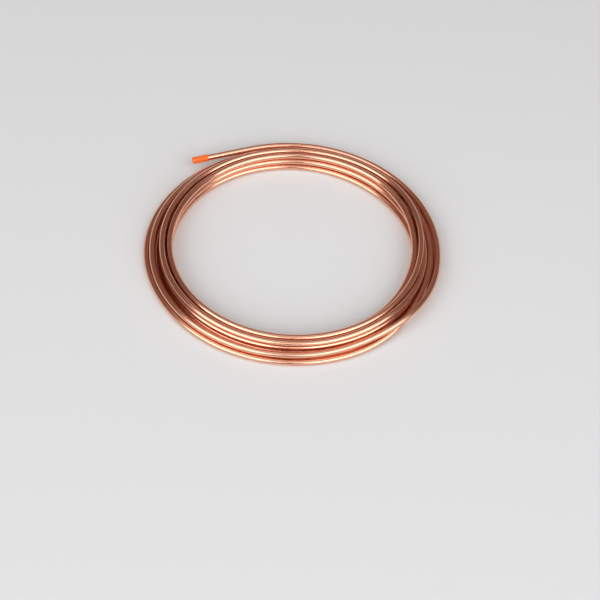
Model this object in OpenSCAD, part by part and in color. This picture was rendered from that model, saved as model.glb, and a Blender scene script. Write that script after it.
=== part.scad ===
// Soft copper tube wound into a flat coil that lies on the floor, with a
// push-on cap on each tube end. Millimetres, +Z up, floor at Z = 0.

/* [Tube] */
// outside diameter of the tube
tube_od = 9.525; // [8:0.025:11]
// wall of the tube, seen at its open ends under the caps
tube_wall = 0.81; // [0.6:0.01:1.2]

/* [Winding] */
// clear diameter of the eye
eye_dia = 359; // [320:1:400]
// gap between neighbouring turns of a row
turn_gap = 1.2; // [0.5:0.1:2]
// wider gap that parts the two inner turns of a row from the outer ones
pair_gap = 5; // [2.5:0.1:6]
// how far the third turn on the floor lies in under the wider gap
low_shift = 3.8; // [3:0.1:4.5]
// gap between one row and the next
row_gap = 0.5; // [0.3:0.1:1]
// bend with which a free turn dips into the turn beside it
dip_bend = 40; // [30:1:60]

/* [Outer end] */
// angle at which the last half turn becomes a straight tail
tail_angle = 110; // [90:1:120]
// straight length of tube in the tail
tail_length = 91.4; // [80:0.1:110]
// how far the last half turn springs up from the middle row
last_lift = 2.5; // [1:0.1:3]

/* [Inner end] */
// angle at which the inner end leaves the eye wall
inner_angle = -75; // [-90:1:-30]
// how far inside the eye wall the inner end lies
inner_step = 14; // [14:0.5:18]
// straight length of tube at the inner end
inner_length = 26; // [25:0.5:28]
// how far the inner end springs up from the floor row
inner_lift = 1.4; // [1.2:0.1:2]

/* [Caps] */
// length of a cap
cap_length = 25; // [20:0.5:25]
// wall of a cap
cap_wall = 0.95; // [0.7:0.05:1]
// thickness of the closed end of a cap
cap_floor = 1.6; // [1.5:0.1:2.5]
// room between a cap and the tube, on the radius
cap_room = 0.05; // [0.02:0.01:0.1]
// rounding of the closed end of a cap
cap_round = 1.2; // [0.5:0.1:1.4]

/* [Hidden] */
$fn = 96;
tube_r = tube_od / 2;
bore_r = tube_r - tube_wall;
// the tube is pressed a little thinner where it dips between other turns
dip_r = tube_r - 0.25;
// radius of each turn of a row, from the eye outward
turn_r1 = eye_dia / 2 + tube_r;
turn_r2 = turn_r1 + tube_od + turn_gap;
turn_r3 = turn_r2 + tube_od + pair_gap;
turn_r4 = turn_r3 + tube_od + turn_gap;
inner_r = turn_r1 - inner_step;
// thickness of the core that joins the outermost turn to the next
core_t = tube_r / 2;
// height of each row
row_z1 = tube_r;
row_z2 = row_z1 + tube_od + row_gap;
row_z3 = row_z2 + tube_od + row_gap;
// a dip ends on the middle of the turn it goes into
last_way = sqrt(pow(turn_r4 - turn_r3, 2) + pow(last_lift, 2));
last_dip = acos(1 - (last_way + pow(dip_bend, 2) / (4 * turn_r3)) / dip_bend);
last_fall = atan(last_lift / (turn_r4 - turn_r3));
first_way = sqrt(pow(inner_step, 2) + pow(inner_lift, 2));
first_dip = acos(1 - (first_way - pow(dip_bend, 2) / (4 * turn_r1)) / dip_bend);
first_fall = atan(inner_lift / inner_step);
cap_bore_r = tube_r + cap_room;
cap_r = cap_bore_r + cap_wall;
cap_depth = cap_length - cap_floor;

// one turn of the tube in section
module turn(radius, height) {
  translate([radius, height]) circle(r = tube_r);
}

// four turns on the floor, three above them and two on top, round one core
module wound_section() {
  translate([turn_r1, row_z1]) square([turn_r2 - turn_r1, row_z3 - row_z1]);
  translate([turn_r2, row_z1]) square([turn_r3 - turn_r2, row_z2 - row_z1]);
  translate([turn_r3, row_z1]) square([turn_r4 - turn_r3, core_t]);
  turn(turn_r1, row_z1);
  turn(turn_r2, row_z1);
  turn(turn_r3 - low_shift, row_z1);
  turn(turn_r4, row_z1);
  turn(turn_r1, row_z2);
  turn(turn_r2, row_z2);
  turn(turn_r3, row_z2);
  turn(turn_r1, row_z3);
  turn(turn_r2, row_z3);
}

// a bend of the pressed tube that starts on the origin along +Y and curves to +X
module dip(sweep) {
  translate([dip_bend, 0, 0]) rotate([0, 0, 180]) rotate_extrude(angle = -sweep)
    translate([dip_bend, 0]) circle(r = dip_r);
}

// the last half turn lies level here, its tail leaving from +X towards +Y
module on_last_turn() {
  translate([0, 0, row_z2 + last_lift]) rotate([0, 0, tail_angle]) children();
}

// the tube runs along +Z from the start of the tail
module on_outer_tail() {
  on_last_turn() translate([turn_r4, 0, 0]) rotate([-90, 0, 0]) children();
}

// the tube runs along +Z from the start of the inner end
module on_inner_end() {
  translate([0, 0, row_z1 + inner_lift]) rotate([0, 0, inner_angle])
    translate([inner_r, 0, 0]) rotate([90, 0, 0]) children();
}

module last_turn() {
  on_last_turn() {
    rotate_extrude(angle = -180) turn(turn_r4, 0);
    translate([-turn_r4, 0, 0]) rotate([0, last_fall, 0]) dip(last_dip);
  }
  on_outer_tail() cylinder(h = tail_length, r = tube_r);
}

module inner_end() {
  on_inner_end() {
    cylinder(h = inner_length, r = tube_r);
    rotate([-90, 0, 0]) rotate([0, first_fall, 0]) dip(first_dip);
  }
}

module copper_tube() {
  color([0.78, 0.47, 0.36])
  difference() {
    union() {
      rotate_extrude() wound_section();
      last_turn();
      inner_end();
    }
    on_outer_tail() translate([0, 0, 1]) cylinder(h = tail_length, r = bore_r);
    on_inner_end() translate([0, 0, 1]) cylinder(h = inner_length, r = bore_r);
  }
}

// a cup that closes at +Z, its open end at Z = 0
module cap() {
  rotate_extrude()
  difference() {
    union() {
      square([cap_r, cap_length - cap_round]);
      square([cap_r - cap_round, cap_length]);
      translate([cap_r - cap_round, cap_length - cap_round]) circle(r = cap_round);
    }
    translate([0, -1]) square([cap_bore_r, cap_depth + 1]);
  }
}

module outer_end_cap() {
  color([0.95, 0.42, 0.12]) on_outer_tail() translate([0, 0, tail_length - cap_depth]) cap();
}

module inner_end_cap() {
  color([0.95, 0.42, 0.12]) on_inner_end() translate([0, 0, inner_length - cap_depth]) cap();
}

copper_tube();
outer_end_cap();
inner_end_cap();
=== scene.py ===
# %% [markdown]
# # A coil of soft copper tube
#
# The object is one length of soft copper tube, wound into a flat coil with a
# wide eye, and a push-on plastic cap on each tube end. The solids in model.glb give
# its size and place. This script winds the real tube over them, turn by turn,
# and gives it bright drawn copper.

import math

import bmesh
import bpy
import numpy as np
from mathutils import Euler, Matrix, Vector


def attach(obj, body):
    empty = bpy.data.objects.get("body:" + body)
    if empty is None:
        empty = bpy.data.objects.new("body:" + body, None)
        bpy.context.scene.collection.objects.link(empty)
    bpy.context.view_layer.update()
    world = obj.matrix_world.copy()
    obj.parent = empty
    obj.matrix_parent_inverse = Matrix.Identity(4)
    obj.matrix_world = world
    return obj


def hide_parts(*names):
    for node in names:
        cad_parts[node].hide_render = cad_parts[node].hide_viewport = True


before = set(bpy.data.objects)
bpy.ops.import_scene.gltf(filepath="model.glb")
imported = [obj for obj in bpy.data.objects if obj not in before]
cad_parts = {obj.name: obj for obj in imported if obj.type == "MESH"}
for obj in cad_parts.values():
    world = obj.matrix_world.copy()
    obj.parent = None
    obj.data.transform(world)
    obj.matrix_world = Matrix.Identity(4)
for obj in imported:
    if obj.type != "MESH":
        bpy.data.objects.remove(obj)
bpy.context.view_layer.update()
print("nodes:", sorted(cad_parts))

# %% [markdown]
# ## Sizes
#
# All lengths are in metres and repeat the driving sizes of the solids. A row is
# a layer of turns, counted from the floor, and a column is a ring of turns,
# counted from the eye outward. The two inner columns lie close together, then
# comes a wider gap, then the two outer ones.

# %% Driving sizes
TUBE_OD = 0.009525
TUBE_R = TUBE_OD / 2
EYE_DIA = 0.359
TURN_GAP = 0.0012
PAIR_GAP = 0.005
ROW_GAP = 0.0005

column_steps = [TUBE_OD + TURN_GAP, TUBE_OD + PAIR_GAP, TUBE_OD + TURN_GAP]
COLUMN_R = EYE_DIA / 2 + TUBE_R + np.concatenate([[0], np.cumsum(column_steps)])
ROW_Z = TUBE_R + (TUBE_OD + ROW_GAP) * np.arange(3)
print("column radii:", COLUMN_R.round(4), "row heights:", ROW_Z.round(4))

# %% [markdown]
# ## The order of the turns
#
# A coil like this is wound on a former from the eye outward: up the first
# column, down the second, out along the floor, and back over the outer turns.
# A list of (column, row) pairs is all that such a rule needs. Three places stray
# from the even grid: one floor turn lies in under the wider gap, the outermost
# one is tucked in, and the last turn springs up a little.

# %% Places that the tube passes through
INNER_TURNS = [(0, 0), (0, 1), (0, 2), (1, 2), (1, 1), (1, 0)]
OUTER_TURNS = [(2, 0), (3, 0), (2, 1), (3, 1)]
TURN_ORDER = INNER_TURNS + OUTER_TURNS
LOW_TURN, LOW_SHIFT = 6, 0.0043
OUTER_TURN, OUTER_TUCK = 7, 0.0012
LAST_LIFT = 0.0025

places = np.array([(COLUMN_R[c], ROW_Z[r]) for c, r in TURN_ORDER])
places[LOW_TURN, 0] -= LOW_SHIFT
places[OUTER_TURN, 0] -= OUTER_TUCK
places[-1, 1] += LAST_LIFT
print("places in the winding:", len(places))

# %% [markdown]
# ## From one turn to the next
#
# Once in each turn the tube steps over to its next place, and all the steps lie
# on one side of the coil. A step is a smooth ramp over a sixth of a turn. Each
# starts at its own angle, earlier than the step before, so that a place is free
# before the next turn arrives in it. Angles run along the whole tube, from the
# inner end to the tail.

# %% Lay the tube by rule
STATIONS = 180
DEGREES = 360 / STATIONS
INNER_ANGLE = -75
TAIL_ANGLE = 110
STEP_AT = [7, -2, -11, -48, -52, -56, -60, -63, -65]
STEP_WIDTH = 55


def ramp(x):
    """Smooth rise from 0 to 1 while x goes from 0 to 1."""
    x = np.clip(x, 0, 1)
    return x * x * (3 - 2 * x)


last_angle = TAIL_ANGLE + 360 * len(STEP_AT)
first_station = math.ceil(INNER_ANGLE / DEGREES)
station = np.arange(first_station, last_angle // DEGREES + 1).astype(int)
angle = station * DEGREES
step_starts = [360 * turn + start for turn, start in enumerate(STEP_AT, 1)]
progress = sum(ramp((angle - start) / STEP_WIDTH) for start in step_starts)
place = np.minimum(progress.astype(int), len(places) - 2)
part = progress - place


def along_steps(values):
    """Values given for the places, blended along the tube."""
    values = np.asarray(values)
    blend = part.reshape((-1,) + (1,) * (values.ndim - 1))
    return values[place] * (1 - blend) + values[place + 1] * blend


laid = along_steps(places)
print("stations along the winding:", len(laid))

# %% [markdown]
# ## Leaning rows
#
# Over the inner end the turns have no straight column to stand on, so the upper
# rows of the inner columns slip outward into the hollows. That shift is largest
# on the side of the steps and dies away on the other.

# %% Lean the upper rows outward
ROW_SLIP = (0, 0.004, 0.009)
SLIP_ANGLE = math.radians(25)
SLIP_FADE = 1.5

slip = along_steps([ROW_SLIP[r] if c < 2 else 0 for c, r in TURN_ORDER])
laid[:, 0] += slip * ((1 + np.cos(np.radians(angle) - SLIP_ANGLE)) / 2) ** SLIP_FADE
print("largest slip, mm:", round(1000 * float(slip.max()), 1))

# %% [markdown]
# ## The outermost turn closes up
#
# Before it steps back over the top, the outermost turn on the floor draws in
# against the one beside it, so that no floor shows between them. A ramp in its
# last half does that, and the blend along the steps ends it by itself.

# %% Draw the outermost turn in
CLOSE_UP = 0.0043
CLOSE_UP_FROM = 172
CLOSE_UP_WIDTH = 50

outermost = along_steps([float(k == OUTER_TURN) for k in range(len(places))])
closing = ramp((angle - 360 * OUTER_TURN - CLOSE_UP_FROM) / CLOSE_UP_WIDTH)
laid[:, 0] -= CLOSE_UP * outermost * closing
print("stations that close up:", int((outermost * closing > 0).sum()))

# %% [markdown]
# ## Loose hand winding
#
# Soft tube never lies in perfect rings. A few slow waves of seeded size move the
# radius by a small part of the tube. `give` says how freely each station may
# move: not at all at both ends, which meet straight tube, and hardly in the first
# turn, which the others lie against.

# %% Add the looseness
LOOSENESS = 0.05
WAVES_PER_TURN = (0.37, 0.71, 1.13, 1.9, 2.7)
FIRST_GIVE = 0.05
HELD_AT_START, START_WIDTH = 20, 30
FREE_FROM, FREE_WIDTH = 60, 60
END_WIDTH = 40
SEED = 4

rng = np.random.default_rng(SEED)
first_part = ramp((angle - angle[0] - HELD_AT_START) / START_WIDTH)
later_part = ramp((angle - FREE_FROM) / FREE_WIDTH)
end_part = ramp((angle[-1] - angle) / END_WIDTH)
give = end_part * (FIRST_GIVE * first_part + (1 - FIRST_GIVE) * later_part)
for waves in WAVES_PER_TURN:
    size = LOOSENESS * TUBE_OD / (1 + waves) * rng.normal()
    shift = rng.uniform(0, 2 * math.pi)
    laid[:, 0] += give * size * np.sin(waves * np.radians(angle) + shift)
print("radii now run from", laid[:, 0].min().round(4), "to", laid[:, 0].max().round(4))

# %% [markdown]
# ## The inner end peels off
#
# The tube starts free inside the eye, a little above the floor because its cap is
# thicker, and joins the wall of the eye over a short bend. Beyond that the first
# turn bows out a little. The second turn comes round to the same place and rides
# up into the hollow outside it. A small nudge tells it which way to go.

# %% Peel the inner end off the wall
INNER_STEP = 0.0128
INNER_LIFT = 0.0014
PEEL_WIDTH = 18
BOW = 0.004
BOW_SPAN = {"start": -62, "rise": 45, "until": 5, "fall": 50}
NUDGE = (0.006, 0.003)
NUDGE_SPAN = {"start": 255, "rise": 50, "until": 380, "fall": 50}


def hump(start, rise, until, fall):
    """Goes from 0 to 1 at one angle and back to 0 at another, over these widths."""
    return ramp((angle - start) / rise) * (1 - ramp((angle - until) / fall))


peel = 1 - ramp((angle - INNER_ANGLE) / PEEL_WIDTH)
laid += peel[:, None] * np.array([-INNER_STEP, INNER_LIFT])
laid += hump(**NUDGE_SPAN)[:, None] * np.array(NUDGE)
laid[:, 0] += BOW * hump(**BOW_SPAN)
print("inner end at radius", laid[0, 0].round(4))

# %% [markdown]
# ## Let the turns settle
#
# Where the tube steps over, the ramps would run through each other. A real coil
# bulges there. A full rigid body simulation is more than this needs: at each
# angle the turns are discs in a section, so discs that overlap push each other
# apart, the push is spread along the tube as its stiffness would spread it, and
# this repeats until nothing overlaps.

# %% Push the turns apart
SETTLE_STEPS = 500
STIFF_STATIONS = 6
REACH = 14
ROOM_BETWEEN = 1.004
EASE = 0.9

lap, column = np.divmod(station - station[0] + station[0] % STATIONS, STATIONS)
pair_a, pair_b = np.triu_indices(lap.max() + 1, 1)
spread = np.exp(-0.5 * (np.arange(-REACH, REACH + 1) / STIFF_STATIONS) ** 2)
spread /= spread.sum()
section = np.full((lap.max() + 1, STATIONS, 2), np.nan)
for _ in range(SETTLE_STEPS):
    section[lap, column] = laid
    apart = section[pair_a] - section[pair_b]
    distance = np.sqrt((apart ** 2).sum(-1))
    overlap = np.nan_to_num(np.maximum(TUBE_OD * ROOM_BETWEEN - distance, 0))
    away = np.nan_to_num(apart / np.maximum(distance, 1e-9)[..., None])
    push = away * overlap[..., None] / 2
    moved = np.zeros_like(section)
    np.add.at(moved, pair_a, push)
    np.add.at(moved, pair_b, -push)
    move = moved[lap, column]
    move[:, 1] += np.maximum(TUBE_R - laid[:, 1], 0)
    padded = [np.pad(one_way, REACH, mode="edge") for one_way in move.T]
    move = np.stack([np.convolve(one_way, spread, "valid") for one_way in padded], 1)
    laid = laid + EASE * give[:, None] * move
print("worst overlap left, mm:", round(1000 * float(overlap.max()), 4))

# %% [markdown]
# ## The straight ends
#
# Both ends leave the winding along its tangent. The outer one is the tail with
# the cap in plain view, and the inner one stays inside the eye.

# %% Join the winding and its ends
TAIL_LENGTH = 0.0914
INNER_LENGTH = 0.026


def on_ring(radius, height, degrees):
    """Points of the tube's middle line at these radii, heights and angles."""
    turn = np.radians(degrees)
    east, north = radius * np.cos(turn), radius * np.sin(turn)
    return np.stack([east, north, height + 0 * turn], -1)


def tangent(degrees):
    """Direction in which the angle grows."""
    turn = math.radians(degrees)
    return np.array([-math.sin(turn), math.cos(turn), 0.0])


inside = (angle > INNER_ANGLE + 1) & (angle < last_angle - 1)
winding = on_ring(laid[:, 0], laid[:, 1], angle)[inside]
tail_way = tangent(TAIL_ANGLE)
tail_start = on_ring(COLUMN_R[3], ROW_Z[1] + LAST_LIFT, TAIL_ANGLE)
tail = tail_start + tail_way * TAIL_LENGTH * np.linspace(0, 1, 20)[:, None]
inner_way = -tangent(INNER_ANGLE)
inner_start = on_ring(COLUMN_R[0] - INNER_STEP, ROW_Z[0] + INNER_LIFT, INNER_ANGLE)
inner_end = inner_start + inner_way * INNER_LENGTH * np.linspace(1, 0, 6)[:, None]
middle_line = np.concatenate([inner_end, winding, tail])
tube_length = np.linalg.norm(np.diff(middle_line, axis=0), axis=1).sum()
print("length of tube, m:", round(float(tube_length), 2))

# %% [markdown]
# ## Marks of handling
#
# Bare copper and soft plastic both pick up a patchy film where hands have held
# them. One node group makes that mask for both finishes, each with its own
# patch size.

# %% Node group for the handling film


def link(tree, start, end):
    """Joins an output socket to an input socket."""
    tree.links.new(start, end)


def handling_film():
    """Group that gives a soft patchy mask from a place on the surface."""
    group = bpy.data.node_groups.new("handling_film", "ShaderNodeTree")
    sockets = group.interface
    sockets.new_socket("Place", in_out="INPUT", socket_type="NodeSocketVector")
    sockets.new_socket("Patches per metre", in_out="INPUT", socket_type="NodeSocketFloat")
    sockets.new_socket("Film", in_out="OUTPUT", socket_type="NodeSocketFloat")
    nodes = group.nodes
    start, end = nodes.new("NodeGroupInput"), nodes.new("NodeGroupOutput")
    patches = nodes.new("ShaderNodeTexNoise")
    patches.inputs["Detail"].default_value = 5
    patches.inputs["Roughness"].default_value = 0.6
    edges = nodes.new("ShaderNodeMapRange")
    edges.interpolation_type = "SMOOTHSTEP"
    edges.inputs["From Min"].default_value = 0.38
    edges.inputs["From Max"].default_value = 0.68
    link(group, start.outputs["Place"], patches.inputs["Vector"])
    link(group, start.outputs["Patches per metre"], patches.inputs["Scale"])
    link(group, patches.outputs["Fac"], edges.inputs["Value"])
    link(group, edges.outputs["Result"], end.inputs["Film"])
    return group


film_group = handling_film()
print("shared effect:", film_group.name)

# %% [markdown]
# ## Drawn copper
#
# The tube is bright because it was drawn through a die: fine lines run along it,
# and the anneal leaves soft warm and pink patches. The lines must follow the
# tube round every turn, so the sweep further down stores two attributes, `round`
# for the place on the tube's circle and `along` for the distance from its end,
# and the noise is stretched along the second one.

# %% Copper finish
COPPER = (0.91, 0.52, 0.37, 1)
COPPER_WARM = (0.85, 0.43, 0.29, 1)


def film_node(material, patches_per_metre):
    """The handling film, placed in a material on its object coordinates."""
    nodes = material.node_tree.nodes
    film = nodes.new("ShaderNodeGroup")
    film.node_tree = film_group
    film.inputs["Patches per metre"].default_value = patches_per_metre
    place = nodes.new("ShaderNodeTexCoord").outputs["Object"]
    link(material.node_tree, place, film.inputs["Place"])
    return film


def noise_node(tree, place, scale, detail):
    """Noise over a vector, with a size and a number of octaves."""
    noise = tree.nodes.new("ShaderNodeTexNoise")
    noise.inputs["Scale"].default_value = scale
    noise.inputs["Detail"].default_value = detail
    link(tree, place, noise.inputs["Vector"])
    return noise.outputs["Fac"]


def range_node(tree, value, low, high):
    """A 0 to 1 mask turned into values from low to high."""
    node = tree.nodes.new("ShaderNodeMapRange")
    node.inputs["To Min"].default_value = low
    node.inputs["To Max"].default_value = high
    link(tree, value, node.inputs["Value"])
    return node.outputs["Result"]


def blend_node(tree, mask, first, second):
    """Two colours mixed by a mask."""
    node = tree.nodes.new("ShaderNodeMix")
    node.data_type = "RGBA"
    node.inputs["A"].default_value = first
    node.inputs["B"].default_value = second
    link(tree, mask, node.inputs["Factor"])
    return node.outputs["Result"]


def drawn_copper():
    """Bright bare copper with draw lines, anneal patches and a handling film."""
    material = bpy.data.materials.new("drawn_copper")
    material.use_nodes = True
    tree = material.node_tree
    shader = tree.nodes["Principled BSDF"]
    shader.inputs["Metallic"].default_value = 1

    circle = tree.nodes.new("ShaderNodeAttribute")
    circle.attribute_name = "round"
    distance = tree.nodes.new("ShaderNodeAttribute")
    distance.attribute_name = "along"
    stretch = tree.nodes.new("ShaderNodeVectorMath")
    stretch.operation = "MULTIPLY_ADD"
    stretch.inputs[1].default_value = (1, 1, 0)
    along_z = tree.nodes.new("ShaderNodeCombineXYZ")
    link(tree, distance.outputs["Fac"], along_z.inputs["Z"])
    link(tree, circle.outputs["Vector"], stretch.inputs[0])
    link(tree, along_z.outputs["Vector"], stretch.inputs[2])

    lines = noise_node(tree, stretch.outputs["Vector"], scale=7, detail=2)
    patches = noise_node(tree, stretch.outputs["Vector"], scale=1.4, detail=3)
    film = film_node(material, patches_per_metre=16).outputs["Film"]

    colour = blend_node(tree, patches, COPPER, COPPER_WARM)
    link(tree, colour, shader.inputs["Base Color"])
    gloss = tree.nodes.new("ShaderNodeMath")
    gloss.operation = "ADD"
    link(tree, range_node(tree, film, low=0.16, high=0.24), gloss.inputs[0])
    link(tree, range_node(tree, lines, low=-0.04, high=0.04), gloss.inputs[1])
    link(tree, gloss.outputs["Value"], shader.inputs["Roughness"])
    relief = tree.nodes.new("ShaderNodeBump")
    relief.inputs["Strength"].default_value = 0.04
    relief.inputs["Distance"].default_value = 0.0002
    link(tree, lines, relief.inputs["Height"])
    link(tree, relief.outputs["Normal"], shader.inputs["Normal"])
    return material


copper = drawn_copper()
print("finish:", copper.name)

# %% [markdown]
# ## Sweep the tube
#
# The whole tube is one circle carried along one line, which is what Curve to
# Mesh does. The circle keeps its top side up all the way, so the draw lines do
# not twist. The tree stores the two attributes for the copper before it sweeps.

# %% Geometry Nodes tree for the tube
TUBE_SIDES = 28


def sweep_tree():
    """Tree that turns a line of points into a closed round tube."""
    tree = bpy.data.node_groups.new("sweep_tube", "GeometryNodeTree")
    face = tree.interface
    face.new_socket("Middle line", in_out="INPUT", socket_type="NodeSocketGeometry")
    face.new_socket("Tube radius", in_out="INPUT", socket_type="NodeSocketFloat")
    face.new_socket("Sides", in_out="INPUT", socket_type="NodeSocketInt")
    face.new_socket("Finish", in_out="INPUT", socket_type="NodeSocketMaterial")
    face.new_socket("Tube", in_out="OUTPUT", socket_type="NodeSocketGeometry")
    nodes = tree.nodes
    start, end = nodes.new("NodeGroupInput"), nodes.new("NodeGroupOutput")

    line = nodes.new("GeometryNodeMeshToCurve")
    upright = nodes.new("GeometryNodeSetCurveNormal")
    upright.mode = "Z_UP"
    distance = nodes.new("GeometryNodeSplineParameter")
    keep_along = nodes.new("GeometryNodeStoreNamedAttribute")
    keep_along.inputs["Name"].default_value = "along"
    circle = nodes.new("GeometryNodeCurvePrimitiveCircle")
    spot = nodes.new("GeometryNodeInputPosition")
    unit = nodes.new("ShaderNodeVectorMath")
    unit.operation = "NORMALIZE"
    keep_round = nodes.new("GeometryNodeStoreNamedAttribute")
    keep_round.data_type = "FLOAT_VECTOR"
    keep_round.inputs["Name"].default_value = "round"
    sweep = nodes.new("GeometryNodeCurveToMesh")
    sweep.inputs["Fill Caps"].default_value = True
    smooth = nodes.new("GeometryNodeSetShadeSmooth")
    whole = nodes.new("GeometryNodeRealizeInstances")
    finish = nodes.new("GeometryNodeSetMaterial")

    link(tree, start.outputs["Middle line"], line.inputs["Mesh"])
    link(tree, line.outputs["Curve"], upright.inputs["Curve"])
    link(tree, upright.outputs["Curve"], keep_along.inputs["Geometry"])
    link(tree, distance.outputs["Length"], keep_along.inputs["Value"])
    link(tree, start.outputs["Tube radius"], circle.inputs["Radius"])
    link(tree, start.outputs["Sides"], circle.inputs["Resolution"])
    link(tree, circle.outputs["Curve"], keep_round.inputs["Geometry"])
    link(tree, spot.outputs["Position"], unit.inputs[0])
    link(tree, unit.outputs["Vector"], keep_round.inputs["Value"])
    link(tree, keep_along.outputs["Geometry"], sweep.inputs["Curve"])
    link(tree, keep_round.outputs["Geometry"], sweep.inputs["Profile Curve"])
    link(tree, sweep.outputs["Mesh"], smooth.inputs["Geometry"])
    link(tree, smooth.outputs["Geometry"], whole.inputs["Geometry"])
    link(tree, whole.outputs["Geometry"], finish.inputs["Geometry"])
    link(tree, start.outputs["Finish"], finish.inputs["Material"])
    link(tree, finish.outputs["Geometry"], end.inputs["Tube"])
    return tree


tube_tree = sweep_tree()
print("tree:", tube_tree.name, "with", len(tube_tree.nodes), "nodes")

# %% Sweep the tube along its middle line


def swept(name, points, inputs):
    """A plain mesh object made by the sweep tree along these points."""
    line = bpy.data.meshes.new(name + "_line")
    edges = [(i, i + 1) for i in range(len(points) - 1)]
    line.from_pydata([tuple(p) for p in points], edges, [])
    guide = bpy.data.objects.new(name + "_guide", line)
    bpy.context.scene.collection.objects.link(guide)
    modifier = guide.modifiers.new("sweep", "NODES")
    modifier.node_group = tube_tree
    for socket in tube_tree.interface.items_tree:
        if socket.in_out == "INPUT" and socket.name in inputs:
            modifier[socket.identifier] = inputs[socket.name]
    depsgraph = bpy.context.evaluated_depsgraph_get()
    shaped = guide.evaluated_get(depsgraph)
    mesh = bpy.data.meshes.new_from_object(shaped, depsgraph=depsgraph)
    bpy.data.objects.remove(guide)
    piece = bpy.data.objects.new(name, mesh)
    bpy.context.scene.collection.objects.link(piece)
    return piece


tube_inputs = {"Tube radius": TUBE_R, "Sides": TUBE_SIDES, "Finish": copper}
tube = swept("wound_tube", middle_line, tube_inputs)
print("tube faces:", len(tube.data.polygons))
print("attributes:", [a.name for a in tube.data.attributes])

# %% [markdown]
# ## Cap plastic
#
# The caps are moulded in soft orange plastic: one strong colour, a satin skin,
# and a film where they were pushed on by thumb.

# %% Orange plastic finish
CAP_ORANGE = (0.95, 0.17, 0.012, 1)
CAP_SHADE = (0.84, 0.125, 0.008, 1)


def moulded_orange():
    """Soft orange plastic with a faint grain and a handling film."""
    material = bpy.data.materials.new("moulded_orange")
    material.use_nodes = True
    tree = material.node_tree
    shader = tree.nodes["Principled BSDF"]
    film = film_node(material, patches_per_metre=140).outputs["Film"]
    colour = blend_node(tree, film, CAP_ORANGE, CAP_SHADE)
    link(tree, colour, shader.inputs["Base Color"])
    link(tree, range_node(tree, film, low=0.26, high=0.40), shader.inputs["Roughness"])
    place = tree.nodes.new("ShaderNodeTexCoord")
    grain = noise_node(tree, place.outputs["Object"], scale=1800, detail=2)
    relief = tree.nodes.new("ShaderNodeBump")
    relief.inputs["Strength"].default_value = 0.15
    relief.inputs["Distance"].default_value = 0.0001
    link(tree, grain, relief.inputs["Height"])
    link(tree, relief.outputs["Normal"], shader.inputs["Normal"])
    return material


orange = moulded_orange()
print("finish:", orange.name)

# %% [markdown]
# ## End caps
#
# A cap is a cup turned round the tube's axis: a small bead at the mouth that a
# thumb can push against, straight walls, a rounded shoulder, and a shallow
# dimple where the plastic was fed into the mould. A profile spun round an axis
# gives all of it.

# %% Turn the caps
CAP_LENGTH = 0.025
CAP_FLOOR = 0.0016
CAP_ROOM = 0.00005
CAP_WALL = 0.00055
CAP_R = TUBE_R + CAP_ROOM + CAP_WALL
CAP_ROUND = 0.0012
CAP_SIDES = 40
LIP_DEPTH = 0.004
BEAD = 0.0002
BEAD_FROM, BEAD_TO, BEAD_END = 0.0004, 0.0012, 0.0018
DIMPLE = 0.0009
DIMPLE_RIM_R, DIMPLE_R = 0.0034, 0.0029
SHARP_ANGLE = math.radians(35)


def cap_profile():
    """Radius and height of the cap's section, from the mouth round to the axis."""
    mouth = [
        (TUBE_R + CAP_ROOM, LIP_DEPTH),
        (TUBE_R + CAP_ROOM, 0),
        (CAP_R + BEAD / 2, 0),
        (CAP_R + BEAD, BEAD_FROM),
        (CAP_R + BEAD, BEAD_TO),
        (CAP_R, BEAD_END),
    ]
    inner_r, inner_z = CAP_R - CAP_ROUND, CAP_LENGTH - CAP_ROUND
    shoulder = [
        (inner_r + CAP_ROUND * math.cos(turn), inner_z + CAP_ROUND * math.sin(turn))
        for turn in np.linspace(0, math.pi / 2, 6)
    ]
    dimple = [
        (DIMPLE_RIM_R, CAP_LENGTH),
        (DIMPLE_R, CAP_LENGTH - DIMPLE),
        (0, CAP_LENGTH - DIMPLE),
    ]
    return mouth + shoulder + dimple


def turned_cap(name, tube_end, way):
    """A cap pushed onto a tube end, closing in the direction way."""
    shape = bmesh.new()
    verts = [shape.verts.new((r, 0, z)) for r, z in cap_profile()]
    edges = [shape.edges.new(pair) for pair in zip(verts, verts[1:])]
    whole_turn = {"axis": (0, 0, 1), "cent": (0, 0, 0), "angle": 2 * math.pi}
    bmesh.ops.spin(shape, geom=verts + edges, steps=CAP_SIDES, **whole_turn)
    bmesh.ops.remove_doubles(shape, verts=shape.verts, dist=1e-6)
    bmesh.ops.recalc_face_normals(shape, faces=shape.faces)
    mouth = Vector(tube_end) - Vector(way) * (CAP_LENGTH - CAP_FLOOR)
    turned = Vector(way).to_track_quat("Z", "Y").to_matrix().to_4x4()
    shape.transform(Matrix.Translation(mouth) @ turned)
    for face in shape.faces:
        face.smooth = True
    mesh = bpy.data.meshes.new(name)
    shape.to_mesh(mesh)
    shape.free()
    mesh.materials.append(orange)
    mesh.set_sharp_from_angle(angle=SHARP_ANGLE)
    piece = bpy.data.objects.new(name, mesh)
    bpy.context.scene.collection.objects.link(piece)
    return piece


outer_cap = turned_cap("outer_cap", tail[-1], tail_way)
inner_cap = turned_cap("inner_cap", inner_end[0], inner_way)
print("cap faces:", len(outer_cap.data.polygons))

# %% [markdown]
# ## Tie the pieces to the model
#
# Each piece rides on the one body and stands for its own solid, which is hidden.

# %% Ride and replace
for piece, node, slot in (
    (tube, "copper_tube", "copper"),
    (outer_cap, "outer_end_cap", "cap_plastic"),
    (inner_cap, "inner_end_cap", "cap_plastic"),
):
    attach(piece, "root")
    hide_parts(node)
    print(piece.name, "stands for", node)

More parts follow.
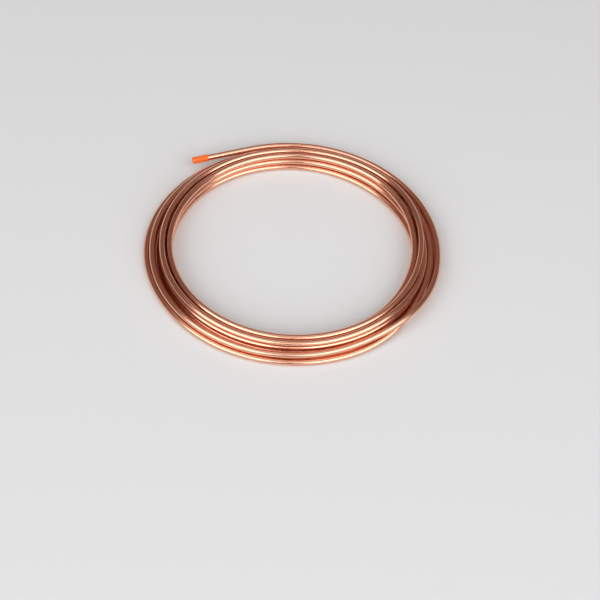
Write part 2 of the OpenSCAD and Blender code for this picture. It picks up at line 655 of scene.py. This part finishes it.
# %% [markdown]
# ## Floor and light
#
# The coil lies on a plain pale floor that ends in a low pale backdrop. Bright metal
# shows what is round it, so two big soft boxes stand in front, far out to the left
# and the right: each draws a clear line along the near and the far turns. A weak
# panel above softens the top. The sides of the coil show only the dim, warm room,
# which keeps them a deep copper, and the floor is a little cool to stay grey in it.

# %% Pale floor and backdrop
FLOOR_REACH = 15
BACKDROP_AT = 4.5
BACKDROP_HEIGHT = 1.7
FLOOR_COLOUR = (0.72, 0.765, 0.782, 1)
FLOOR_ROUGHNESS = 0.9

floor_mesh = bpy.data.meshes.new("floor")
corners = [
    (-FLOOR_REACH, -FLOOR_REACH, 0),
    (FLOOR_REACH, -FLOOR_REACH, 0),
    (FLOOR_REACH, BACKDROP_AT, 0),
    (-FLOOR_REACH, BACKDROP_AT, 0),
    (FLOOR_REACH, BACKDROP_AT, BACKDROP_HEIGHT),
    (-FLOOR_REACH, BACKDROP_AT, BACKDROP_HEIGHT),
]
floor_mesh.from_pydata(corners, [], [(0, 1, 2, 3), (3, 2, 4, 5)])
floor = bpy.data.objects.new("floor", floor_mesh)
bpy.context.scene.collection.objects.link(floor)
pale = bpy.data.materials.new("pale_floor")
pale.use_nodes = True
pale_shader = pale.node_tree.nodes["Principled BSDF"]
pale_shader.inputs["Base Color"].default_value = FLOOR_COLOUR
pale_shader.inputs["Roughness"].default_value = FLOOR_ROUGHNESS
floor_mesh.materials.append(pale)
print("floor faces:", len(floor_mesh.polygons))

# %% Soft boxes and room
SOFT_BOX = {"elevation": 34, "away": 7, "size": (7.7, 6.1), "power": 374}
TOP_PANEL = {"elevation": 88, "away": 3, "size": (3.3, 2.4), "power": 16}
LAMPS = {
    "left_soft_box": {"azimuth": -137, **SOFT_BOX},
    "right_soft_box": {"azimuth": 137, **SOFT_BOX},
    "top_panel": {"azimuth": 0, **TOP_PANEL},
}
ROOM = (0.21, 0.138, 0.12, 1)

for name, lamp in LAMPS.items():
    light = bpy.data.lights.new(name, "AREA")
    light.shape = "RECTANGLE"
    light.size, light.size_y = lamp["size"]
    light.energy = lamp["power"]
    round_z, up = math.radians(lamp["azimuth"]), math.radians(lamp["elevation"])
    east, north = math.sin(round_z) * math.cos(up), math.cos(round_z) * math.cos(up)
    way = Vector((east, north, math.sin(up)))
    box = bpy.data.objects.new(name, light)
    box.location = way * lamp["away"]
    box.rotation_euler = way.to_track_quat("Z", "Y").to_euler()
    bpy.context.scene.collection.objects.link(box)

room = bpy.data.worlds.new("room")
room.use_nodes = True
room.node_tree.nodes["Background"].inputs["Color"].default_value = ROOM
bpy.context.scene.world = room
bpy.context.scene.view_settings.view_transform = "Standard"
print("lamps:", list(LAMPS))

# %% [markdown]
# ## Camera
#
# The camera stands where the picture was taken from, seen from the coil: almost
# halfway up, a little rolled, and with the coil above the middle of the frame.
# The angles come from the ellipses of the eye and of the outer turns.

# %% Place the camera
IMAGE_SIDE = 600
SENSOR_WIDTH = 36
FOCAL_PIXELS = 1540
VIEW_DISTANCE = 2.328
VIEW_ELEVATION = math.radians(46.97)
VIEW_ROLL = math.radians(2.6)
COIL_AT_PIXEL = (291.7, 247.3)

centre = Vector((0, 0, ROW_Z[1]))
toward_camera = Vector((0, -math.cos(VIEW_ELEVATION), math.sin(VIEW_ELEVATION)))
look = Euler((math.pi / 2 - VIEW_ELEVATION, 0, 0)).to_matrix()
roll = Matrix.Rotation(VIEW_ROLL, 3, "Z")
right_turn = math.atan((IMAGE_SIDE / 2 - COIL_AT_PIXEL[0]) / FOCAL_PIXELS)
down_turn = math.atan((IMAGE_SIDE / 2 - COIL_AT_PIXEL[1]) / FOCAL_PIXELS)
aim = Matrix.Rotation(-right_turn, 3, "Y") @ Matrix.Rotation(-down_turn, 3, "X")

lens = bpy.data.cameras.new("camera")
lens.sensor_width = SENSOR_WIDTH
lens.lens = FOCAL_PIXELS / IMAGE_SIDE * SENSOR_WIDTH
camera = bpy.data.objects.new("camera", lens)
stand = Matrix.Translation(centre + toward_camera * VIEW_DISTANCE)
camera.matrix_world = stand @ (look @ roll @ aim).to_4x4()
bpy.context.scene.collection.objects.link(camera)
bpy.context.scene.camera = camera
print("lens, mm:", round(lens.lens, 1))
